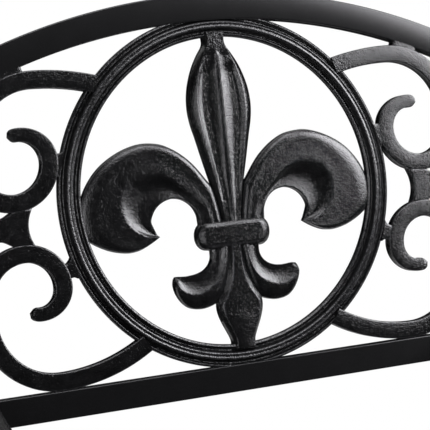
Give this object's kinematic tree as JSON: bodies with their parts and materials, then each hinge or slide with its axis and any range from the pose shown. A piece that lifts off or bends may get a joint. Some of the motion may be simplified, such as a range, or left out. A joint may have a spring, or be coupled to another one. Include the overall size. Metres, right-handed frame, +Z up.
{
  "type": "garden armchair",
  "caption": "Garden armchair of flat-sided metal tube with a slatted seat, flat arms and an arched back that holds a fleur-de-lis in a ring between scrolls.",
  "frame": {"origin": "on the floor, under the middle of the chair's box", "axes": "+Z up, the chair faces -Y, +X to the right as seen from the front"},
  "size_m": [0.5406, 0.6436, 0.9236],
  "materials": {
    "frame": "satin black powder coat on steel",
    "casting": "satin black powder coat on a sand casting, with its grain showing",
    "plastic": "matt black"
  },
  "bodies": {
    "root": {"back_top_rail": "frame", "back_lower_rail": "frame", "rear_leg_left": "frame", "rear_leg_right": "frame", "medallion": "casting", "scroll_bracket_left": "casting", "scroll_bracket_right": "casting", "armrest_left": "frame", "armrest_right": "frame", "armrest_cap_left": "plastic", "armrest_cap_right": "plastic", "front_leg_left": "frame", "front_leg_right": "frame", "seat_front_rail": "frame", "seat_rear_rail": "frame", "seat_side_rail_left": "frame", "seat_side_rail_right": "frame", "seat_brace": "frame", "seat_slat_1": "frame", "seat_slat_2": "frame", "seat_slat_3": "frame", "seat_slat_4": "frame", "seat_slat_5": "frame", "seat_slat_6": "frame", "seat_slat_7": "frame", "seat_slat_8": "frame", "seat_slat_9": "frame", "foot_glide_front_left": "plastic", "foot_glide_front_right": "plastic", "foot_glide_rear_left": "plastic", "foot_glide_rear_right": "plastic"}
  },
  "joints": []
}
